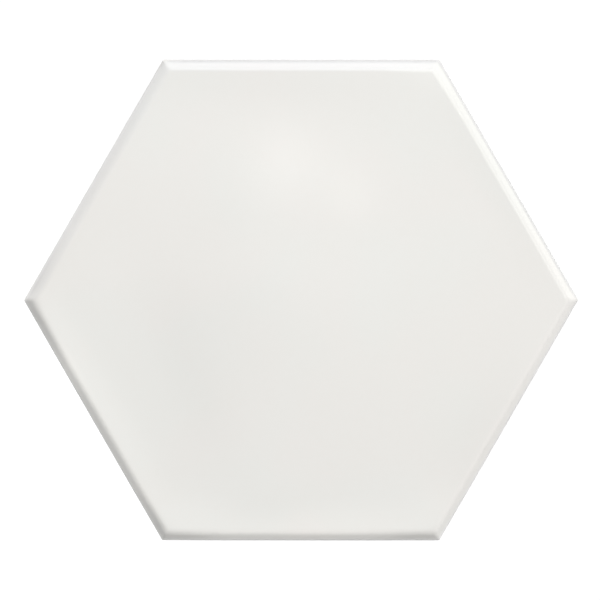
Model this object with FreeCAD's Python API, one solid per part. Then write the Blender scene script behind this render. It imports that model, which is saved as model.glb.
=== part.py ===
"""Hexagonal glazed floor tile with a cushioned edge and a keyed back.

One pressed and fired piece, so one solid: the glaze is fused to the body and
has no thickness of its own worth a layer.

Frame, in millimetres: +Z up out of the glazed face, X from corner to corner,
Y across the flats. The origin is the centre of the back, on the plane that the
tile beds on. The tile lies glazed face up.

Section across a side, from the face outwards:
    flat face -> rounded shoulder -> straight bevel -> rounded lip
    -> upright side -> small arris at the back.
The six sections meet in mitres at the corners, as on the pressed tile.
"""
import FreeCAD
import Part
import math
import os

# ---------------------------------------------------------------- dimensions
ACROSS_FLATS = 150.0      # between opposite sides
THICKNESS = 9.0           # back plane to glazed face
CORNER_RADIUS = 0.8       # upright edges at the six corners, in plan

# cushioned edge
EDGE_WIDTH = 3.5          # from the flat face to the side, in plan
BEVEL_SLOPE = 36.5        # degrees below level, of the straight part
SHOULDER_RADIUS = 3.0     # where the face turns down into the bevel
LIP_RADIUS = 1.4          # where the bevel turns down into the side

# back
BACK_ARRIS = 0.8          # 45 degree arris round the back
GROOVE_PITCH = 11.0       # middle of one keying groove to the next
GROOVE_WIDTH = 5.5        # at the mouth
GROOVE_DEPTH = 0.6
GROOVE_DRAFT = 0.45       # each wall leans in by this much over the depth
GROOVE_BORDER = 6.0       # flat border left between the grooves and the sides
GROOVES_EACH_WAY = 6      # grooves on each side of the middle one

OUT = "parts"
V = FreeCAD.Vector

# ------------------------------------------------------------ derived values
apothem = ACROSS_FLATS / 2.0
circumradius = apothem / math.cos(math.radians(30.0))
slope = math.radians(BEVEL_SLOPE)
s, c, t = math.sin(slope), math.cos(slope), math.tan(slope)

shoulder_run, shoulder_drop = SHOULDER_RADIUS * s, SHOULDER_RADIUS * (1.0 - c)
lip_run, lip_drop = LIP_RADIUS * (1.0 - s), LIP_RADIUS * c
bevel_run = EDGE_WIDTH - shoulder_run - lip_run
bevel_drop = bevel_run * t
side_top = THICKNESS - shoulder_drop - bevel_drop - lip_drop
if bevel_run <= 0.0 or side_top <= BACK_ARRIS:
    raise ValueError("the cushioned edge doesn't fit the tile")


def half_section():
    """Face of the section, in the plane of X (outwards) and Z. It runs back
    past the middle of the tile, so that six of them can be intersected."""
    back = -1.2 * circumradius
    face_end = V(apothem - EDGE_WIDTH, 0, THICKNESS)
    shoulder_end = V(face_end.x + shoulder_run, 0, THICKNESS - shoulder_drop)
    bevel_end = V(shoulder_end.x + bevel_run, 0, shoulder_end.z - bevel_drop)
    lip_end = V(apothem, 0, side_top)
    half = slope / 2.0
    shoulder_mid = V(face_end.x + SHOULDER_RADIUS * math.sin(half), 0,
                     THICKNESS - SHOULDER_RADIUS * (1.0 - math.cos(half)))
    lip_centre = V(apothem - LIP_RADIUS, 0, side_top)
    mid = (slope + math.pi / 2.0) / 2.0
    lip_mid = lip_centre + V(LIP_RADIUS * math.sin(mid), 0, LIP_RADIUS * math.cos(mid))
    arris_top = V(apothem, 0, BACK_ARRIS)
    arris_end = V(apothem - BACK_ARRIS, 0, 0)
    edges = [
        Part.LineSegment(V(back, 0, THICKNESS), face_end).toShape(),
        Part.Arc(face_end, shoulder_mid, shoulder_end).toShape(),
        Part.LineSegment(shoulder_end, bevel_end).toShape(),
        Part.Arc(bevel_end, lip_mid, lip_end).toShape(),
        Part.LineSegment(lip_end, arris_top).toShape(),
        Part.LineSegment(arris_top, arris_end).toShape(),
        Part.LineSegment(arris_end, V(back, 0, 0)).toShape(),
        Part.LineSegment(V(back, 0, 0), V(back, 0, THICKNESS)).toShape(),
    ]
    return Part.Face(Part.Wire(edges))


def rounded_hexagon():
    """Plan outline: flats across Y, corners on X, with small round corners."""
    cut = CORNER_RADIUS * math.tan(math.radians(30.0))   # corner to tangent point
    bulge = CORNER_RADIUS / math.cos(math.radians(30.0)) - CORNER_RADIUS
    corners = [V(circumradius * math.cos(math.radians(60 * k)),
                 circumradius * math.sin(math.radians(60 * k)), 0) for k in range(6)]
    starts, ends, mids = [], [], []
    for k in range(6):
        p, before, after = corners[k], corners[k - 1], corners[(k + 1) % 6]
        starts.append(p + (before - p).normalize() * cut)
        ends.append(p + (after - p).normalize() * cut)
        mids.append(p - V(p.x, p.y, 0).normalize() * bulge)
    edges = []
    for k in range(6):
        edges.append(Part.Arc(starts[k], mids[k], ends[k]).toShape())
        edges.append(Part.LineSegment(ends[k], starts[(k + 1) % 6]).toShape())
    return Part.Face(Part.Wire(edges))


def blank():
    """The tile without its keying grooves."""
    body = rounded_hexagon().extrude(V(0, 0, THICKNESS))
    length = 4.0 * circumradius
    section = half_section()
    section.translate(V(0, -length / 2.0, 0))
    run = section.extrude(V(0, length, 0))
    for k in range(6):
        side = run.copy()
        side.rotate(V(0, 0, 0), V(0, 0, 1), 30.0 + 60.0 * k)
        body = body.common(side)
    return body


def groove(y, reach):
    """A shallow round-ended groove in the back, along X at this y, with its
    ends at plus and minus reach. Its walls lean in, as a die needs."""
    r = GROOVE_WIDTH / 2.0
    floor = r - GROOVE_DRAFT
    below = 1.0                                # past the back, for a clean cut
    grow = GROOVE_DRAFT / GROOVE_DEPTH * below
    x = reach - r
    section = Part.Face(Part.makePolygon([
        V(-x, y - r - grow, -below), V(-x, y + r + grow, -below),
        V(-x, y + floor, GROOVE_DEPTH), V(-x, y - floor, GROOVE_DEPTH),
        V(-x, y - r - grow, -below)]))
    cutter = section.extrude(V(2.0 * x, 0, 0))
    for end in (-x, x):
        cutter = cutter.fuse(Part.makeCone(r + grow, floor, GROOVE_DEPTH + below,
                                           V(end, y, -below), V(0, 0, 1)))
    return cutter.removeSplitter()


def tile():
    body = blank()
    for n in range(-GROOVES_EACH_WAY, GROOVES_EACH_WAY + 1):
        y = n * GROOVE_PITCH
        # the slanted side of the border, at the groove's outer edge
        outer = abs(y) + GROOVE_WIDTH / 2.0
        reach = (apothem - GROOVE_BORDER) / math.cos(math.radians(30.0)) \
            - outer * math.tan(math.radians(30.0))
        body = body.cut(groove(y, reach))
    return body.removeSplitter()


def main():
    os.makedirs(OUT, exist_ok=True)
    shape = tile()
    solids = shape.Solids
    if len(solids) != 1 or not solids[0].isValid():
        raise RuntimeError("the tile isn't one valid solid")
    solid = solids[0]
    box = solid.optimalBoundingBox()
    print("size %.2f x %.2f x %.2f mm, volume %.0f mm3, %d faces" % (
        box.XLength, box.YLength, box.ZLength, solid.Volume, len(solid.Faces)))
    print("side stands from %.2f to %.2f mm; bevel runs %.2f mm" % (
        BACK_ARRIS, side_top, bevel_run))
    solid.exportStep(os.path.join(OUT, "hexagon_tile.step"))


main()
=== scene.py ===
"""Looks of the glazed hexagonal floor tile: its finished surface, the glaze and
the bare body, a plain white floor, soft light and a camera straight above.

Lengths in the shape code are in millimetres, and are turned into metres where
the mesh is written. The frame is the CAD model's: +Z up out of the glazed face,
X from corner to corner, Y across the flats, the back on z = 0.
"""
import bpy
import math
import numpy as np
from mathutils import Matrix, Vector
from mathutils.geometry import delaunay_2d_cdt


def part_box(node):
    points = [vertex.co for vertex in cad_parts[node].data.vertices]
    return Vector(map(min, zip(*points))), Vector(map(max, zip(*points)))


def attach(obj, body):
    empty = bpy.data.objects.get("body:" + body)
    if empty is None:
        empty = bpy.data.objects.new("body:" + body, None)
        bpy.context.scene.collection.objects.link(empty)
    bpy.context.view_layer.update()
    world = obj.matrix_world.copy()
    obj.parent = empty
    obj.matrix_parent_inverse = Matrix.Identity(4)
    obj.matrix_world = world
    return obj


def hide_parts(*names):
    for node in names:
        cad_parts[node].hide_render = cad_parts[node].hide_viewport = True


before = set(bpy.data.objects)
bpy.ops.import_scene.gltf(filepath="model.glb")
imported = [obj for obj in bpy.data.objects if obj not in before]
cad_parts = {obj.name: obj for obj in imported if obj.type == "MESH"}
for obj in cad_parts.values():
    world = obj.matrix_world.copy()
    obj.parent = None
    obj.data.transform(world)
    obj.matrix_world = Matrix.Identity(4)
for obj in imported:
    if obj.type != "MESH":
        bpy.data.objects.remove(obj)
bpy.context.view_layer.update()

MM = 0.001
DEG = math.pi / 180.0

# ------------------------------------------------------------------- the size
low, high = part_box("hexagon_tile")
APOTHEM = (high.y - low.y) / 2.0 / MM          # 75
THICK = high.z / MM                            # 9
CORNER_R = 0.8                                 # upright edges, in plan
# The cushioned edge under its glaze, side by side, for the sides that face 30, 90,
# 150, 210, 270 and 330 degrees: width in plan, shoulder radius, slope in degrees,
# lip radius. All are the pressed edge's 3.5, 3.0, 36.5 and 1.4, give or take what
# the glaze adds.
EDGES = ((3.80, 3.0, 35.5, 2.0), (4.05, 3.0, 35.5, 2.2), (4.05, 3.0, 37.3, 1.7),
         (3.40, 2.4, 39.8, 1.6), (2.93, 2.1, 36.8, 1.4), (3.75, 3.0, 37.3, 1.6))
# What changes towards the corner where each side starts and the one where it ends,
# counter-clockwise: width, shoulder radius, slope, painted light and shade on the bevel
# as a colour factor (below 1 painted shade, above 1 painted light), and how far along
# the side it acts. The press leaves the corners rounder.
ENDS = (((0.2, 0.0, 0.0, 0.99, 27.0), (0.60, 0.6, -1.0, 1.0, 22.0)),
        ((0.58, 0.6, -2.0, 1.0, 21.0), (-0.1, 0.0, 0.5, 0.99, 27.0)),
        ((0.0, 0.0, -0.5, 1.035, 34.0), (0.8, 0.5, 3.5, 0.965, 27.0)),
        ((-0.04, -0.35, 8.5, 0.870, 25.0), (0.03, -0.35, 9.5, 0.845, 18.0)),
        ((0.22, -0.15, 7.0, 0.885, 23.0), (0.40, 0.1, 6.5, 0.93, 27.0)),
        ((0.3, 0.2, 3.0, 0.985, 27.0), (0.0, 0.0, 0.0, 1.0, 27.0)))
# No pressed tile is quite regular: how far each corner is out of place, from the
# one on +X counter-clockwise.
CORNERS_OUT = ((-0.03, 0.10), (-0.05, 0.0), (0.36, 0.0), (0.10, 0.0), (0.05, 0.0), (-0.05, 0.0))
TAN30, COS30 = math.tan(30 * DEG), math.cos(30 * DEG)

# back
ARRIS = 0.8
PITCH, GROOVE_W, GROOVE_D, BORDER, EACH_WAY = 11.0, 5.5, 0.6, 6.0, 6


def smooth(a, b, x):
    """0 below a, 1 above b, and a smooth step between them."""
    t = np.clip((x - a) / (b - a), 0.0, 1.0)
    return t * t * (3.0 - 2.0 * t)


# ---------------------------------------------------------------- slow relief
# A glazed face is never a true plane. It swells and sinks by a few hundredths of
# a millimetre, and along two neighbouring sides it turns up a little towards the
# rim, where the glaze has drawn back from the edge.
# Each entry is a swelling (height > 0) or hollow: x, y, half-width along and
# across its own direction, direction in degrees, height. All in millimetres.
SWELLS = [
    (-18.0, 8.0, 24.0, 18.0, 35.0, 0.055),
    (22.0, 24.0, 16.0, 13.0, -30.0, -0.035),
    (-38.0, -20.0, 15.0, 22.0, 15.0, -0.030),
    (30.0, -24.0, 24.0, 16.0, 10.0, 0.045),
    (-6.0, -46.0, 26.0, 12.0, -15.0, -0.030),
    (44.0, 26.0, 14.0, 16.0, -20.0, 0.025),
    (-34.0, 40.0, 16.0, 13.0, 0.0, -0.020),
]
# Painted shade over the lip (above 0) or painted light there (below 0), and the
# painted light and shade down the bevel as a colour factor, on each side.
PAINTED_LIP_SHADE = (0.85, 0.87, -1.0, -1.0, -0.9, -0.6)
PAINTED_LIP_SHADE_FROM = (1.20, 1.62, 1.20, 1.20, 1.20, 1.20)      # inset where that begins
PAINTED_BEVEL_LIGHT = ((0.985, 0.988, 0.988), (0.996, 1.000, 1.035), (1.001, 1.004, 1.021),
         (1.003, 1.000, 1.000), (1.010, 1.000, 1.000), (1.014, 1.006, 1.008))
# How steeply the face turns up towards the rim on each side, in degrees.
RIM_SLOPE = (0.2, 0.3, 0.3, 2.9, 2.7, 0.5)
RIM_INNER, RIM_STEEP, RIM_OUTER = 13.0, 4.4, 3.0      # inset where it starts, is steepest, ends
rim_e = np.arange(0.0, 20.0, 0.02)
rim_z = np.clip((RIM_INNER - rim_e) / (RIM_INNER - RIM_STEEP), 0, 1) \
    * np.clip((rim_e - RIM_OUTER) / (RIM_STEEP - RIM_OUTER), 0, 1)
rim_z = np.cumsum(rim_z[::-1])[::-1] * 0.02           # per unit of slope
RIM_HEIGHT = float(rim_z[0]) * math.tan(max(RIM_SLOPE) * DEG)


def by_side(x, y, values, blend):
    """One value for each side, blended over a few millimetres at the mitres."""
    total, weights = 0.0, 0.0
    for i, value in enumerate(values):
        a = (30 + 60 * i) * DEG
        w = np.exp((x * math.cos(a) + y * math.sin(a) - APOTHEM) / blend)
        total, weights = total + w * value, weights + w
    return total / weights


def towards_ends(x, y, side):
    """1 at the corner where this side starts, 0 from its reach on, and the same for
    the corner where it ends."""
    out = []
    for k, end in zip((side, side + 1), ENDS[side]):
        cx, cy = [APOTHEM / COS30 * f(60 * k * DEG) for f in (math.cos, math.sin)]
        out.append(1.0 - smooth(-1.0, end[4], np.hypot(x - cx, y - cy)))
    return out


def warped(x, y):
    """The plan with its corners where they really are. Sides stay straight."""
    k = np.floor(np.arctan2(y, x) / (60 * DEG)).astype(int) % 6
    a = (60 * k + 30) * DEG
    d, t = x * np.cos(a) + y * np.sin(a), -x * np.sin(a) + y * np.cos(a)
    s = np.clip((t / np.maximum(d, 1e-6) / TAN30 + 1.0) / 2.0, 0.0, 1.0)
    out = np.array(CORNERS_OUT)
    move = (out[k] * (1.0 - s)[:, None] + out[(k + 1) % 6] * s[:, None]) * (d / APOTHEM)[:, None]
    return x + move[:, 0], y + move[:, 1]


def inset_of(x, y):
    """Distance in from the nearest side, rounded off where two sides meet."""
    k = 1.6
    total = 0.0
    for i in range(6):
        a = (30 + 60 * i) * DEG
        total = total + np.exp(-(APOTHEM - (x * math.cos(a) + y * math.sin(a))) / k)
    return -k * np.log(total)


def relief(x, y):
    """Height of the finished face against its rim, in millimetres."""
    z = np.zeros_like(x)
    for cx, cy, wu, wv, turn, height in SWELLS:
        c, s = math.cos(turn * DEG), math.sin(turn * DEG)
        u, v = (x - cx) * c + (y - cy) * s, -(x - cx) * s + (y - cy) * c
        z += height * np.exp(-0.5 * ((u / wu) ** 2 + (v / wv) ** 2))
    z += 0.004 * np.sin(0.145 * x + 0.062 * y + 0.6) * np.cos(0.110 * y - 0.051 * x + 1.9)
    e = inset_of(x, y)
    angle = np.arctan2(y, x)
    rim = np.tan(by_side(x, y, RIM_SLOPE, 5.0) * DEG) * (1.0 + 0.06 * np.sin(5 * angle + 2.1))
    return z * smooth(3.0, 16.0, e) + rim * np.interp(e, rim_e, rim_z) - RIM_HEIGHT


# -------------------------------------------------------------------- outline
ARC_STEPS = 4                                   # per half corner
half = []
at, gap = 0.0, 0.28
while at < 43.0:                                # from the corner inwards
    half.append(at)
    at += gap
    gap = min(gap * 1.16, 1.35)
half = np.array(half) / at
STRAIGHT = 1.0 - half[::-1]                     # 0 < ... <= 1, share of the straight run
STRAIGHT = np.concatenate([[0.0], STRAIGHT])


def half_outline(apothem, r):
    """Points of half a side, from its middle to the middle of its corner."""
    run = apothem * TAN30 - r * TAN30
    pts = [(u * run, apothem) for u in STRAIGHT]
    for j in range(1, ARC_STEPS + 1):
        a = 30 * DEG * j / ARC_STEPS
        pts.append((run + r * math.sin(a), apothem - r + r * math.cos(a)))
    return np.array(pts)


def outline(inset, r):
    """One ring round the tile, counter-clockwise from above, from the middle of
    the corner on +X."""
    h = half_outline(APOTHEM - inset, r)
    n = len(h)
    side = np.concatenate([h[::-1] * [1, 1], h[1:] * [-1, 1]])   # corner to corner
    side = side[:-1]                            # the next side starts there
    ring = []
    for k in range(6):
        turn = (60 * k + 30 - 90) * DEG         # side k faces 30 + 60 k degrees
        c, s = math.cos(turn), math.sin(turn)
        ring.append(np.stack([side[:, 0] * c - side[:, 1] * s,
                              side[:, 0] * s + side[:, 1] * c], 1))
    return np.concatenate(ring)


RING = len(outline(0.0, CORNER_R))
ring0 = outline(0.0, CORNER_R)
step = np.linalg.norm(np.roll(ring0, -1, 0) - ring0, axis=1)
ALONG = np.concatenate([[0.0], np.cumsum(step)[:-1]])     # mm round the tile
ROUND = step.sum()


def wavy(shortest, longest, count, seed):
    """Smooth noise round the tile, without a seam, about -1 to 1."""
    g = np.random.default_rng(seed)
    out = np.zeros(RING)
    for n in range(count):
        cycles = round(ROUND / (shortest * (longest / shortest) ** g.random()))
        out += math.sqrt(2.0 / count) * np.sin(2 * math.pi * cycles * ALONG / ROUND + g.random() * 7)
    return out


# ----------------------------------------------------------- the edge profile
def edge_profile(edge, shoulder_r, slope, lip_r):
    """Inset and height along the cushioned edge as the glaze leaves it, finely
    sampled: the pressed profile with its changes of curve softened. It starts on
    the face and ends on the upright side, and gives the height of the side's top."""
    slope *= DEG
    n = 40
    pts = [(edge + 3.0 - i * 0.1, THICK) for i in range(30)]
    for i in range(n):
        a = slope * i / n
        pts.append((edge - shoulder_r * math.sin(a), THICK - shoulder_r * (1 - math.cos(a))))
    e1, z1 = edge - shoulder_r * math.sin(slope), THICK - shoulder_r * (1 - math.cos(slope))
    run = e1 - lip_r * (1 - math.sin(slope))
    for i in range(n):
        pts.append((e1 - run * i / n, z1 - run * math.tan(slope) * i / n))
    top = z1 - run * math.tan(slope) - lip_r * math.cos(slope)
    for i in range(n + 1):
        a = slope + (math.pi / 2 - slope) * i / n
        pts.append((lip_r - lip_r * math.sin(a), top + lip_r * math.cos(a)))
    for i in range(1, 20):
        pts.append((0.0, top - 0.1 * i))
    pts = np.array(pts)
    s = np.concatenate([[0.0], np.cumsum(np.linalg.norm(np.diff(pts, axis=0), axis=1))])
    even = np.arange(0.0, s[-1], 0.02)
    p = np.stack([np.interp(even, s, pts[:, 0]), np.interp(even, s, pts[:, 1])], 1)
    sigma = 0.22 / 0.02
    k = np.arange(-40, 41)
    w = np.exp(-0.5 * (k / sigma) ** 2)
    w /= w.sum()
    pad = np.concatenate([p[:1] + (p[:1] - p[1:2]) * np.arange(40, 0, -1)[:, None],
                          p, p[-1:] + (p[-1:] - p[-2:-1]) * np.arange(1, 41)[:, None]])
    q = np.stack([np.convolve(pad[:, i], w, "valid") for i in (0, 1)], 1)
    return even, q, top


def edge_points(profiles, first, count):
    """For each profile, count points down it, evenly spaced: from an inset of
    first to just under the lip."""
    out, longest = [], 0.0
    for profile in profiles:
        s, q, top = edge_profile(*profile)
        a = s[np.argmin(np.abs(q[:, 0] - first))]
        b = s[np.argmax(q[:, 1] < top - 0.15)]
        at = a + (b - a) * np.arange(1, count + 1) / count
        out.append(np.stack([np.maximum(np.interp(at, s, q[:, 0]), 0.0),
                             np.interp(at, s, q[:, 1])], 1))
        longest = max(longest, b - a)
    return np.array(out), longest                  # profile, point, (inset, height)


# ------------------------------------------------------------------- vertices
verts, uv_top = [], []                          # uv_top: unrolled plan, mm
rings = []                                      # first vertex of each ring


def add_ring(x, y, z, scale):
    rings.append(len(verts))
    for a, b, c, m in zip(x, y, np.broadcast_to(z, x.shape), np.broadcast_to(scale, x.shape)):
        verts.append((float(a), float(b), float(c)))
        uv_top.append((float(a * m), float(b * m)))


def corner_radius(inset):
    """The mitres are sharp in the die and a little softer under the glaze."""
    return CORNER_R + 0.33 * max(0.0, inset - 0.4)


INNER = 8.0
# inside the shoulder, where the face already is
for inset in (8.0, 7.3, 6.7, 6.2, 5.8):
    p = outline(inset, corner_radius(inset))
    add_ring(p[:, 0], p[:, 1], THICK + relief(p[:, 0], p[:, 1]), 1.0)
# shoulder, bevel and lip: each side by its own profile and those of its two ends,
# blended along the side and at the mitres
profiles, profile_share = [], []
for k in range(6):
    side_share = by_side(ring0[:, 0], ring0[:, 1], np.eye(6)[k], 1.3)
    start, end = towards_ends(ring0[:, 0], ring0[:, 1], k)
    w, shoulder, slope, lip = EDGES[k]
    profiles.append(EDGES[k])
    profile_share.append(side_share * (1.0 - start - end))
    for weight, (dw, ds, da, _, _) in zip((start, end), ENDS[k]):
        profiles.append((w + dw, shoulder + ds, slope + da, lip))
        profile_share.append(side_share * weight)
EDGE_POINTS, edge_length = edge_points(profiles, 5.8, 32)
unrolled = APOTHEM - 5.8
for n in range(EDGE_POINTS.shape[1]):
    p, z, inset = np.zeros((RING, 2)), np.zeros(RING), np.zeros(RING)
    for points, share in zip(EDGE_POINTS, profile_share):
        e, height = points[n]
        p += share[:, None] * outline(e, corner_radius(e))
        z += share * height
        inset += share * e
    z += relief(p[:, 0], p[:, 1])
    at = unrolled + edge_length * (n + 1) / EDGE_POINTS.shape[1]
    add_ring(p[:, 0], p[:, 1], z, at / (APOTHEM - inset))
unrolled += edge_length
z_side = z

# the upright side: glaze down to an uneven line, then the bare body
line = 4.7 + 0.20 * wavy(16.0, 70.0, 7, 11) + 0.09 * wavy(3.0, 9.0, 9, 12)
for at_mm, width, depth in ((37.0, 3.4, 0.6), (151.0, 2.6, 0.4), (214.0, 4.2, 0.8), (330.0, 3.0, 0.5),
                            (402.0, 2.4, 0.4), (468.0, 3.8, 0.7)):
    away = np.abs((ALONG - at_mm + ROUND / 2) % ROUND - ROUND / 2)
    line -= depth * np.exp(-0.5 * (away / width) ** 2)      # a slow run of glaze
line = np.clip(line, 2.6, z_side - 0.5)
body = 0.17 + 0.015 * wavy(2.8, 8.0, 9, 14) + 0.02 * wavy(20.0, 70.0, 4, 15)     # how far it is set back


def side_ring(inset, z, at):
    """inset may change round the tile. at is where the ring lies when unrolled."""
    p = outline(0.0, CORNER_R)
    n = p / np.linalg.norm(p, axis=1)[:, None]
    q = p - n * np.broadcast_to(inset, (RING,))[:, None]
    add_ring(q[:, 0], q[:, 1], z, at / APOTHEM)


u = unrolled
for share, inset in ((0.33, 0.015), (0.66, 0.035)):
    side_ring(inset, z_side + (line + 0.42 - z_side) * share, u + share * 1.2)
u += 1.2
for up, inset, du in ((0.42, 0.035, 0.0), (0.32, 0.018, 0.10), (0.22, 0.0, 0.10), (0.13, 0.006, 0.09),
                      (0.05, 0.04, 0.08)):
    u += du
    side_ring(inset, line + up, u)
u += 0.08
side_ring(0.5 * (0.04 + body), line, u)
u += 0.07
side_ring(body, line - 0.015, u)
glaze_rings = len(rings)                        # rings up to here are glazed
for share in (0.07, 0.2, 0.36, 0.52, 0.68, 0.84):
    down = line - 0.015 + (1.15 - line) * share
    rough = 0.012 * wavy(2.6, 6.0, 10, 20 + int(share * 100))
    side_ring(body + 0.05 * share + rough, down, u + share * 3.6)
u += 3.6
# arris, a little nibbled
nibble = np.clip(wavy(2.6, 7.0, 12, 31) - 1.0, 0.0, 2.0) * 0.12 + 0.03 * wavy(5.0, 20.0, 8, 32)
arris = ARRIS + nibble
for a in (8, 26, 45, 64, 82):
    # a rounded 45 degree edge, between the side and the back
    t = a * DEG
    inn = arris * (1 - math.cos(t)) + body + 0.05
    up = np.maximum(arris * (1 - math.sin(t)), 0.0)
    u += 0.26
    side_ring(inn, up, u)
u += 0.26
side_ring(arris + body + 0.08, np.zeros(RING), u)
UNROLLED = u

faces, glazed, on_back = [], [], []


def add_face(ids, is_glazed, back):
    faces.append(tuple(ids))
    glazed.append(is_glazed)
    on_back.append(back)


for n in range(len(rings) - 1):
    a, b = rings[n], rings[n + 1]
    for i in range(RING):
        j = (i + 1) % RING
        add_face((a + i, b + i, b + j, a + j), n + 1 < glaze_rings, False)


def fill(loop_ids, holes, spacing, inside, flip, z_of, is_glazed, back):
    """Fills a flat region bounded by loop_ids and holes with triangles on an
    even lattice. inside(x, y) says which lattice points are used."""
    ids = list(loop_ids)
    around = list(range(len(ids)))
    edges, hole_of = [], {}
    for h, hole in enumerate(holes):
        first = len(ids)
        ids += list(hole)
        edges += [(first + i, first + (i + 1) % len(hole)) for i in range(len(hole))]
        hole_of.update({i: h for i in hole})
    pts = [Vector(verts[i][:2]) for i in ids]
    fixed = len(pts)
    rows = int(90 / (spacing * COS30)) + 2
    for r in range(-rows, rows + 1):
        xs = (np.arange(-60, 61) + (0.5 if r % 2 else 0.0)) * spacing
        ys = np.full_like(xs, r * spacing * COS30)
        ok = inside(xs, ys)
        pts += [Vector((float(a), float(b))) for a, b in zip(xs[ok], ys[ok])]
    out, _, tris, origin, _, _ = delaunay_2d_cdt(pts, edges, [around], 1, 1e-7)
    place = {}
    for i, came in enumerate(origin):
        first = min(came) if came else None
        if first is not None and first < fixed:
            place[i] = ids[first]
        else:
            x, y = out[i]
            place[i] = len(verts)
            verts.append((x, y, float(z_of(np.array([x]), np.array([y]))[0])))
            uv_top.append((x, y))
    for t in tris:
        three = [place[i] for i in t]
        found = {hole_of.get(i) for i in three}
        if len(found) == 1 and None not in found:   # the floor of a groove
            continue
        add_face(three[::-1] if flip else three, is_glazed, back)


# the face
fill(range(rings[0], rings[0] + RING), [], 1.45, lambda x, y: inset_of(x, y) > INNER + 0.8,
     False, lambda x, y: THICK + relief(x, y), True, False)


# the back: ribs and border in one plane, thirteen shallow round-ended grooves
def groove_half(y0):
    outer = abs(y0) + GROOVE_W / 2.0
    return (APOTHEM - BORDER) / COS30 - outer * TAN30 - GROOVE_W / 2.0


def stadium(y0, reach, r, z, straight, round_n):
    """Loop of a round-ended slot, counter-clockwise, as vertices."""
    pts = []
    xs = np.linspace(-reach, reach, straight + 1)
    pts += [(x, y0 - r) for x in xs]
    pts += [(reach + r * math.sin(a), y0 - r * math.cos(a)) for a in
            np.linspace(0, math.pi, round_n + 1)[1:-1]]
    pts += [(x, y0 + r) for x in xs[::-1]]
    pts += [(-reach - r * math.sin(a), y0 + r * math.cos(a)) for a in
            np.linspace(0, math.pi, round_n + 1)[1:-1]]
    first = len(verts)
    for x, y in pts:
        verts.append((x, y, z))
        uv_top.append((x, y))
    return list(range(first, first + len(pts)))


ROUND_N = 10
grooves = []
for n in range(-EACH_WAY, EACH_WAY + 1):
    y0 = n * PITCH
    reach = groove_half(y0)
    straight = max(8, int(round(2 * reach / 2.2)))
    loops = []
    # softened rib edge, leaning wall, softened foot, floor
    for grow, z in ((0.16, 0.0), (0.02, 0.035), (-0.09, 0.12), (-0.34, 0.44), (-0.48, 0.555), (-0.66, 0.60)):
        loops.append(stadium(y0, reach, GROOVE_W / 2.0 + grow, z, straight, ROUND_N))
    for a, b in zip(loops, loops[1:]):
        m = len(a)
        for i in range(m):
            j = (i + 1) % m
            add_face((a[i], b[i], b[j], a[j]), False, True)
    # floor, bridged from one long side to the other, with a middle row
    inner = loops[-1]
    m = len(inner)
    low_side = inner[:straight + 1]
    high_side = inner[straight + ROUND_N:2 * straight + ROUND_N + 1][::-1]
    mid = len(verts)
    for a in low_side:
        verts.append((verts[a][0], y0, GROOVE_D))
        uv_top.append((verts[a][0], y0))
    for i in range(straight):
        add_face((low_side[i], mid + i, mid + i + 1, low_side[i + 1]), False, True)
        add_face((mid + i, high_side[i], high_side[i + 1], mid + i + 1), False, True)
    right = inner[straight:straight + ROUND_N + 1]
    left = inner[2 * straight + ROUND_N:] + [inner[0]]
    for i in range(ROUND_N):
        add_face((right[i], mid + straight, right[i + 1]), False, True)
        add_face((left[i], mid, left[i + 1]), False, True)
    grooves.append((y0, reach, loops[0]))


def on_ribs(x, y):
    ok = inset_of(x, y) > ARRIS + 1.4
    for y0, reach, _ in grooves:
        dx = np.maximum(np.abs(x) - reach, 0.0)
        ok &= np.hypot(dx, y - y0) > GROOVE_W / 2.0 + 0.9
    return ok


fill(range(rings[-1], rings[-1] + RING), [g[2] for g in grooves], 2.3, on_ribs, True,
     lambda x, y: 0.006 + 0.006 * (1 + np.sin(0.9 * x) * np.sin(1.1 * y)), False, True)

co = np.array(verts)
co[:, 2] *= THICK / co[:, 2].max()
plain = co[:, :2].copy()                        # before the corners move
co[:, 0], co[:, 1] = warped(plain[:, 0], plain[:, 1])
print("tile mesh:", len(co), "vertices,", len(faces), "faces, box", co.min(0), co.max(0))

mesh = bpy.data.meshes.new("tile")
mesh.from_pydata([tuple(p * MM) for p in co], [], faces)
mesh.polygons.foreach_set("use_smooth", [True] * len(faces))
tile = bpy.data.objects.new("tile", mesh)
bpy.context.scene.collection.objects.link(tile)

# one unrolled island for face and sides, one for the back
R1, R2 = 0.405, 0.205
s1 = R1 / (UNROLLED / COS30)
s2 = R2 / (APOTHEM / COS30)
c1 = (R1 + 0.01, R1 * COS30 + 0.01)
c2 = (1 - R2 - 0.01, 1 - R2 * COS30 - 0.01)
uvl = mesh.uv_layers.new(name="OFBake")
flat = np.empty((len(mesh.loops), 2), np.float32)
which = np.zeros(len(mesh.loops), bool)
for p, back in zip(mesh.polygons, on_back):
    which[p.loop_start:p.loop_start + p.loop_total] = back
index = np.empty(len(mesh.loops), np.int32)
mesh.loops.foreach_get("vertex_index", index)
plan = np.array(uv_top)[index]
real = co[index, :2]
flat[:, 0] = np.where(which, c2[0] - real[:, 0] * s2, c1[0] + plan[:, 0] * s1)
flat[:, 1] = np.where(which, c2[1] + real[:, 1] * s2, c1[1] + plan[:, 1] * s1)
uvl.data.foreach_set("uv", flat.ravel())
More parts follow.
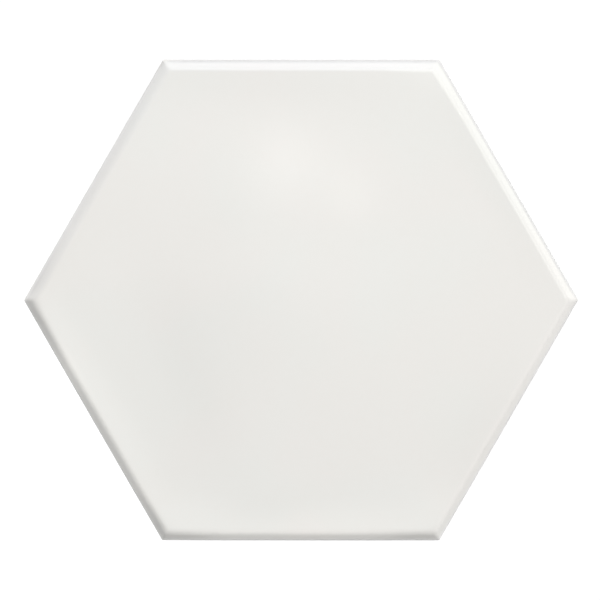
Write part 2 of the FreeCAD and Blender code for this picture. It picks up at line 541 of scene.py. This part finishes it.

# painted shade over the lip on the lit sides and painted light over it on the others, and painted light and shade down
# each bevel
px, py = plain[:, 0], plain[:, 1]
near = np.min([APOTHEM - (px * math.cos(a) + py * math.sin(a))
               for a in np.radians(np.arange(30, 390, 60))], 0)
lip_paint = (1.0 - smooth(0.45, by_side(px, py, PAINTED_LIP_SHADE_FROM, 1.2), near)) * by_side(px, py, PAINTED_LIP_SHADE, 1.2)
for name, share in (("lip_painted_shade", np.maximum(lip_paint, 0.0)),
                    ("lip_painted_light", np.maximum(-lip_paint, 0.0) * smooth(5.6, 6.6, co[:, 2]))):
    mesh.attributes.new(name, "FLOAT", "POINT").data.foreach_set("value", share)
on_bevel = smooth(0.2, 1.0, near) * (1.0 - smooth(3.0, 4.4, near)) * (co[:, 2] > 5.5)
# painted light and shade down each bevel, side by side and towards the corners
bevel_painted_light = np.ones((len(co), 3), np.float32)
# painted shade, and here and there painted light, on the bevels towards the corners
painted_corner_shade = 0.0
for k in range(6):
    start, end = towards_ends(px, py, k)
    painted_corner_shade = painted_corner_shade + by_side(px, py, np.eye(6)[k], 1.2) * (
        start * (ENDS[k][0][3] - 1.0) + end * (ENDS[k][1][3] - 1.0))
for i in range(3):
    bevel_painted_light[:, i] += on_bevel * (by_side(px, py, [t[i] for t in PAINTED_BEVEL_LIGHT], 1.2) - 1.0 + painted_corner_shade)
mesh.attributes.new("bevel_painted_light", "FLOAT_VECTOR", "POINT").data.foreach_set("vector", bevel_painted_light.ravel())


# ------------------------------------------------------------------ materials
class Nodes:
    """A short way to write a node tree."""

    def __init__(self, name):
        self.m = bpy.data.materials.new(name)
        self.m.use_nodes = True
        self.t = self.m.node_tree
        for n in list(self.t.nodes):
            self.t.nodes.remove(n)
        self.out = self.t.nodes.new("ShaderNodeOutputMaterial")
        self.p = self.t.nodes.new("ShaderNodeBsdfPrincipled")
        self.t.links.new(self.p.outputs[0], self.out.inputs[0])
        self.co = self.t.nodes.new("ShaderNodeTexCoord").outputs["Object"]

    def put(self, socket, value):
        if isinstance(value, bpy.types.NodeSocket):
            self.t.links.new(value, socket)
        elif isinstance(value, (tuple, list)) and socket.type == "RGBA":
            socket.default_value = (*value, 1.0)[:4]
        else:
            socket.default_value = value

    def noise(self, scale, detail=2.0, rough=0.5, vector=None, distort=0.0):
        n = self.t.nodes.new("ShaderNodeTexNoise")
        self.put(n.inputs["Vector"], vector or self.co)
        self.put(n.inputs["Scale"], scale)
        self.put(n.inputs["Detail"], detail)
        self.put(n.inputs["Roughness"], rough)
        self.put(n.inputs["Distortion"], distort)
        return n.outputs["Fac"]

    def cells(self, scale, vector=None, feature="F1", jitter=1.0):
        n = self.t.nodes.new("ShaderNodeTexVoronoi")
        n.feature = feature
        self.put(n.inputs["Vector"], vector or self.co)
        self.put(n.inputs["Scale"], scale)
        self.put(n.inputs["Randomness"], jitter)
        return n.outputs["Distance"]

    def math(self, op, a, b=0.0, c=0.0, clamp=False):
        n = self.t.nodes.new("ShaderNodeMath")
        n.operation = op
        n.use_clamp = clamp
        for i, v in enumerate((a, b, c)):
            self.put(n.inputs[i], v)
        return n.outputs[0]

    def ramp(self, value, a, b, lo=0.0, hi=1.0, kind="SMOOTHSTEP"):
        n = self.t.nodes.new("ShaderNodeMapRange")
        n.interpolation_type = kind
        for i, v in enumerate((value, a, b, lo, hi)):
            self.put(n.inputs[i], v)
        return n.outputs[0]

    def mix(self, share, a, b, mode="MIX"):
        n = self.t.nodes.new("ShaderNodeMix")
        n.data_type = "RGBA"
        n.blend_type = mode
        n.clamp_factor = True
        self.put(n.inputs[0], share)
        self.put(n.inputs[6], a)
        self.put(n.inputs[7], b)
        return n.outputs[2]

    def attribute(self, name, output):
        n = self.t.nodes.new("ShaderNodeAttribute")
        n.attribute_name = name
        return n.outputs[output]

    def stretch(self, x, y, z):
        n = self.t.nodes.new("ShaderNodeMapping")
        self.put(n.inputs["Vector"], self.co)
        n.inputs["Scale"].default_value = (x, y, z)
        return n.outputs[0]

    def patch(self, x, y, length, width, turn):
        """A soft-edged oval on the face, at x, y in millimetres: 1 in its middle."""
        n = self.t.nodes.new("ShaderNodeMapping")
        n.vector_type = "TEXTURE"
        self.put(n.inputs["Vector"], self.co)
        n.inputs["Location"].default_value = (x * MM, y * MM, THICK * MM)
        n.inputs["Rotation"].default_value = (0.0, 0.0, turn * DEG)
        n.inputs["Scale"].default_value = (length * MM, width * MM, 1.0)
        return self.bell(n.outputs[0], 1.0)

    def bell(self, vector, width):
        d = self.t.nodes.new("ShaderNodeVectorMath")
        d.operation = "LENGTH"
        self.put(d.inputs[0], vector)
        r = self.math("DIVIDE", d.outputs["Value"], width)
        return self.math("EXPONENT", self.math("MULTIPLY", self.math("MULTIPLY", r, r), -0.5))

    def scaled(self, colour, by):
        n = self.t.nodes.new("ShaderNodeVectorMath")
        n.operation = "SCALE"
        self.put(n.inputs[0], colour)
        self.put(n.inputs["Scale"], by)
        return n.outputs["Vector"]

    def axis(self, which):
        n = self.t.nodes.new("ShaderNodeSeparateXYZ")
        self.put(n.inputs[0], self.co)
        return n.outputs[which]

    def bump(self, height, strength, distance, onto=None):
        n = self.t.nodes.new("ShaderNodeBump")
        self.put(n.inputs["Height"], height)
        self.put(n.inputs["Strength"], strength)
        self.put(n.inputs["Distance"], distance)
        if onto is not None:
            self.put(n.inputs["Normal"], onto)
        return n.outputs[0]


# broad patches of painted light and shade on the face, lighter or darker where soft
# reflections and shading fall: x, y, half-length and half-width, direction in degrees, change of tone
PAINTED_FACE_PATCHES = [
    (-26.0, 0.0, 15.0, 23.0, 7.0, -0.025),
    (-36.0, -19.0, 23.0, 7.0, 110.0, -0.025),
    (1.0, 42.0, 13.0, 8.0, -20.0, 0.026),
    (16.0, 32.0, 6.0, 6.0, 0.0, 0.026),
    (-20.0, 11.0, 30.0, 7.0, 0.0, 0.012),
    (-60.0, -34.0, 30.0, 5.0, 120.0, 0.020),
    (0.0, -70.0, 34.0, 5.0, 0.0, 0.020),
    (-12.0, 68.5, 30.0, 7.5, -4.0, -0.031),
    (45.0, 48.0, 9.0, 30.0, -124.0, -0.012),
    (58.0, 40.7, 29.0, 4.5, 120.0, -0.020),
    (-71.9, -22.2, 6.6, 1.6, 120.0, 0.090),
    (-35.0, -64.0, 8.0, 4.5, 0.0, 0.022),
    (43.5, -63.5, 6.0, 5.5, 0.0, 0.022),
    (-11.0, -65.5, 8.0, 3.5, 0.0, -0.020),
    (56.5, -40.0, 15.0, 6.0, 60.0, -0.021),
    (40.0, 69.0, 4.5, 3.0, -30.0, 0.020),
]


def glaze_material():
    """Glossy off-white glaze. It is a hair warmer and darker where it is thin down the sides.
    Over the lip it is darker all round, partly thin glaze and partly painted shade; the lit sides' lips carry more
    painted shade and the others' painted light. Painted light and shade also lie down each bevel and in broad patches
    on the face, and its tone drifts slightly."""
    g = Nodes("white_glaze")
    cream = (0.815, 0.800, 0.755)
    hue = g.ramp(g.noise(24.0, 1.0, 0.5, distort=0.6), 0.35, 0.60)      # a trace rosier or greener
    white = g.mix(hue, (0.8425, 0.8380, 0.8065), (0.8500, 0.8355, 0.8045))
    broad = g.noise(26.0, 2.0, 0.5)
    fine = g.noise(420.0, 3.0, 0.6)
    tone = g.ramp(broad, 0.35, 0.68, 0.0, 0.12)
    speck = g.ramp(fine, 0.40, 0.75, 0.0, 0.10)
    col = g.mix(g.math("ADD", tone, speck, clamp=True), white, cream)
    z = g.axis(2)
    # darker over the lip all round: partly thin glaze, partly painted shade
    thin_glaze_and_lip_shade = g.ramp(z, 0.0077, 0.0066, 0.0, 0.6)
    col = g.mix(g.math("MULTIPLY", thin_glaze_and_lip_shade, g.ramp(g.noise(150.0, 2.0), 0.3, 0.7, 0.85, 1.0)), col,
                (0.725, 0.715, 0.69))
    low_edge = g.ramp(z, 0.0056, 0.0042, 0.0, 0.35)
    col = g.mix(low_edge, col, (0.76, 0.73, 0.66))
    # painted shade over the lip on the lit sides, painted light over it on the others
    col = g.mix(g.attribute("lip_painted_shade", "Fac"), col, (0.665, 0.663, 0.655))
    col = g.mix(g.attribute("lip_painted_light", "Fac"), col, (0.895, 0.890, 0.872))
    # painted light and shade down each bevel, side by side and towards the corners
    col = g.mix(1.0, col, g.attribute("bevel_painted_light", "Color"), "MULTIPLY")
    # broad patches of painted light and shade on the face
    depth = 1.0
    for x, y, length, width, turn, change in PAINTED_FACE_PATCHES:
        depth = g.math("ADD", depth, g.math("MULTIPLY", g.patch(x, y, length, width, turn), change))
    g.put(g.p.inputs["Base Color"], g.scaled(col, depth))
    rough = g.ramp(g.noise(60.0, 3.0, 0.55), 0.3, 0.7, 0.07, 0.10)
    rough = g.math("ADD", rough, g.ramp(z, 0.0070, 0.0056, 0.0, 0.28))
    g.put(g.p.inputs["Roughness"], rough)
    g.p.inputs["IOR"].default_value = 1.52
    # orange peel, two sizes, and a few pinholes
    peel = g.math("ADD", g.math("MULTIPLY", g.noise(170.0, 1.0, 0.4), 0.8),
                  g.math("MULTIPLY", g.noise(480.0, 1.0, 0.4), 0.2))
    n = g.bump(peel, 1.0, 0.0000065)
    g.put(g.p.inputs["Normal"], n)
    return g.m


def body_material():
    """The bare fired body on the sides and back: pale, dry and granular."""
    g = Nodes("bare_body")
    base, dark, pale = (0.70, 0.645, 0.545), (0.56, 0.50, 0.40), (0.79, 0.755, 0.68)
    cloud = g.noise(70.0, 4.0, 0.6)
    grain = g.noise(1500.0, 3.0, 0.65)
    col = g.mix(g.ramp(cloud, 0.3, 0.7, 0.0, 0.7), base, pale)
    col = g.mix(g.ramp(grain, 0.52, 0.78, 0.0, 0.55), col, dark)
    spots = g.cells(760.0)
    spot_noise = g.noise(300.0, 1.0)
    fleck = g.math("MULTIPLY", g.ramp(spots, 0.16, 0.05, 0.0, 1.0), g.ramp(spot_noise, 0.56, 0.62, 0.0, 1.0))
    col = g.mix(g.math("MULTIPLY", fleck, 0.6), col, (0.30, 0.23, 0.16))
    z = g.axis(2)
    dust = g.math("MULTIPLY", g.ramp(z, 0.0026, 0.0048, 0.0, 0.50), g.ramp(g.noise(240.0, 3.0, 0.6), 0.38, 0.62, 0.25, 1.0))
    col = g.mix(dust, col, (0.82, 0.80, 0.75))              # overspray of glaze
    under = g.ramp(z, 0.0009, 0.0002, 0.0, 1.0)
    wash = g.math("MULTIPLY", under, g.ramp(g.noise(38.0, 4.0, 0.6), 0.42, 0.6, 0.0, 0.55))
    col = g.mix(wash, col, (0.80, 0.785, 0.74))             # kiln wash on the ribs
    g.put(g.p.inputs["Base Color"], col)
    g.put(g.p.inputs["Roughness"], g.ramp(cloud, 0.3, 0.7, 0.78, 0.92))
    g.p.inputs["Specular IOR Level"].default_value = 0.35
    tall = g.noise(900.0, 3.0, 0.6, g.stretch(1.0, 1.0, 0.35))
    n = g.bump(g.math("ADD", g.math("MULTIPLY", grain, 0.6), g.math("MULTIPLY", tall, 0.6)), 0.9, 0.00010)
    n = g.bump(cloud, 0.6, 0.00015, n)
    g.put(g.p.inputs["Normal"], n)
    return g.m


mesh.materials.append(glaze_material())
mesh.materials.append(body_material())
mesh.polygons.foreach_set("material_index", [0 if g else 1 for g in glazed])
mesh.validate()
mesh.update()

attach(tile, "root")
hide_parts("hexagon_tile")


# ------------------------------------------------------------ floor and light
def plain_emitter(name, light, albedo):
    g = Nodes(name)
    g.p.inputs["Base Color"].default_value = (albedo,) * 3 + (1,)
    g.p.inputs["Roughness"].default_value = 0.9
    g.p.inputs["Specular IOR Level"].default_value = 0.0
    g.p.inputs["Emission Color"].default_value = (1, 1, 1, 1)
    g.p.inputs["Emission Strength"].default_value = light
    return g


def disc(name, rings_of_points, materials):
    """A flat mesh from the centre outwards, one material for each ring."""
    pts = [(0.0, 0.0, 0.0)] + [(x, y, 0.0) for ring in rings_of_points for x, y in ring]
    n = len(rings_of_points[0])
    polys, used = [(0, 1 + i, 1 + (i + 1) % n) for i in range(n)], [0] * n
    for k in range(len(rings_of_points) - 1):
        a, b = 1 + k * n, 1 + (k + 1) * n
        polys += [(a + i, b + i, b + (i + 1) % n, a + (i + 1) % n) for i in range(n)]
        used += [k + 1] * n
    data = bpy.data.meshes.new(name)
    data.from_pydata(pts, [], polys)
    for m in materials:
        data.materials.append(m)
    data.polygons.foreach_set("material_index", [min(i, len(materials) - 1) for i in used])
    thing = bpy.data.objects.new(name, data)
    bpy.context.scene.collection.objects.link(thing)
    return thing


def hexagon_ring(apothem, steps=16):
    pts = []
    for k in range(6):
        a, b = (60 * k) * DEG, (60 * (k + 1)) * DEG
        for i in range(steps):
            t = i / steps
            pts.append(((math.cos(a) * (1 - t) + math.cos(b) * t) * apothem / COS30 * MM,
                        (math.sin(a) * (1 - t) + math.sin(b) * t) * apothem / COS30 * MM))
    return pts


def circle_ring(radius, count=96):
    return [(radius * math.cos(i * 2 * math.pi / count), radius * math.sin(i * 2 * math.pi / count))
            for i in range(count)]


# white where it shows round the tile, and not lit from within where the tile lies
lit = plain_emitter("floor_white", 1.0, 0.08)
far = lit.t.nodes.new("ShaderNodeVectorMath")
far.operation = "LENGTH"
lit.put(far.inputs[0], lit.co)
# the floor's glow dims away from the tile; a brighter patch towards the lower left is a painted pool of light that
# also lights those edges of the tile
dim = lit.ramp(far.outputs["Value"], 0.13, 0.50, 0.0, -0.145)
towards = lit.math("ADD", lit.math("MULTIPLY", lit.axis(0), -0.707), lit.math("MULTIPLY", lit.axis(1), -0.707))
painted_floor_glow = lit.math("MULTIPLY", lit.ramp(towards, -0.01, 0.07, 0.0, 0.32), lit.ramp(far.outputs["Value"], 0.12, 0.30, 1.0, 0.0))
lit.put(lit.p.inputs["Emission Strength"], lit.math("ADD", 0.945, lit.math("ADD", dim, painted_floor_glow)))
floor = disc("floor", [hexagon_ring(APOTHEM - 0.45), circle_ring(0.6), circle_ring(9.0)],
             [plain_emitter("floor_under", 0.0, 0.8).m, lit.m])

bpy.ops.mesh.primitive_uv_sphere_add(segments=48, ring_count=24, radius=9.0, location=(0, 0, 0))
dome = bpy.context.object
dome.name = "backdrop"
white = plain_emitter("backdrop_white", 1.0, 0.0)
up = white.axis(2)                                     # greyer just over the horizon, dimmer overhead
low = white.math("DIVIDE", white.math("SUBTRACT", up, 0.5), 0.45)
low = white.math("EXPONENT", white.math("MULTIPLY", white.math("MULTIPLY", low, low), -0.5))
total = white.math("MULTIPLY_ADD", low, -0.38, white.ramp(up, 1.9, 6.4, 1.0, 0.45))
for azimuth, elevation, size in ((135.0, 21.0, 0.62), (-45.0, 11.5, 0.52)):   # two dark flags
    a, e = azimuth * DEG, elevation * DEG
    off = white.t.nodes.new("ShaderNodeVectorMath")
    off.operation = "SUBTRACT"
    white.put(off.inputs[0], white.co)
    off.inputs[1].default_value = (9.0 * math.cos(a) * math.cos(e), 9.0 * math.sin(a) * math.cos(e), 9.0 * math.sin(e))
    total = white.math("MULTIPLY_ADD", white.bell(off.outputs["Vector"], size), -0.75, total)
white.put(white.p.inputs["Emission Strength"], total)
dome.data.materials.append(white.m)


def only_in_gloss(thing, camera=False):
    """Seen in reflections only, so that it shapes them without lighting the tile."""
    thing.visible_camera = camera
    thing.visible_diffuse = False
    thing.visible_shadow = False
    thing.visible_transmission = False
    return thing


only_in_gloss(dome, camera=True)

# a large soft panel overhead, brightest in its middle
bpy.ops.mesh.primitive_circle_add(vertices=64, radius=0.75, fill_type="NGON", location=(-0.033, 0.174, 2.2))
panel = bpy.context.object
panel.name = "overhead_panel"
glow = plain_emitter("overhead_glow", 1.0, 0.0)
wide, hot = glow.bell(glow.co, 0.228), glow.bell(glow.co, 0.028)
glow.put(glow.p.inputs["Emission Strength"], glow.math(
    "ADD", 0.45, glow.math("ADD", glow.math("MULTIPLY", wide, 0.55), glow.math("MULTIPLY", hot, 1.2))))
panel.data.materials.append(glow.m)
only_in_gloss(panel)

world = bpy.data.worlds.new("studio")
bpy.context.scene.world = world
world.use_nodes = True
world.node_tree.nodes["Background"].inputs[0].default_value = (1, 1, 1, 1)
world.node_tree.nodes["Background"].inputs[1].default_value = 0.12


def softbox(name, azimuth, elevation, distance, width, height, energy, colour=(1, 1, 1)):
    data = bpy.data.lights.new(name, "AREA")
    data.shape = "RECTANGLE"
    data.size, data.size_y = width, height
    data.energy = energy
    data.color = colour
    lamp = bpy.data.objects.new(name, data)
    bpy.context.scene.collection.objects.link(lamp)
    a, e = azimuth * DEG, elevation * DEG
    lamp.location = (distance * math.cos(a) * math.cos(e), distance * math.sin(a) * math.cos(e),
                     distance * math.sin(e))
    lamp.rotation_mode = "QUATERNION"
    lamp.rotation_quaternion = (-lamp.location).to_track_quat("-Z", "Y")
    lamp.visible_camera = False
    return lamp


softbox("key", 57.3, 58.0, 2.8, 0.8, 0.8, 81.4).visible_glossy = False
# the lit cloth round the key, and a dimmer one to its right, seen only in the gloss
only_in_gloss(softbox("scrim", 65.0, 56.0, 2.9, 2.6, 1.7, 1.35 * math.pi * 2.6 * 1.7))
only_in_gloss(softbox("side_scrim", -22.0, 55.0, 2.6, 1.2, 1.4, 0.6 * math.pi * 1.2 * 1.4))

# --------------------------------------------------------------------- camera
cam_data = bpy.data.cameras.new("camera")
cam = bpy.data.objects.new("camera", cam_data)
bpy.context.scene.collection.objects.link(cam)
cam_data.lens = 135.0
cam_data.sensor_width = 36.0
PX_PER_MM = 3.2087
FRAME_MM = 600.0 / PX_PER_MM
away = FRAME_MM / 2.0 / (18.0 / cam_data.lens)
cam.location = (-0.75 / PX_PER_MM * MM, 0.05 / PX_PER_MM * MM, (away + 6.6) * MM)
cam.rotation_euler = (0, 0, 0)
cam_data.clip_start, cam_data.clip_end = 0.01, 50.0
bpy.context.scene.camera = cam

view = bpy.context.scene.view_settings
view.view_transform = "Standard"
view.look = "None"
view.exposure = 0.0
view.gamma = 1.0
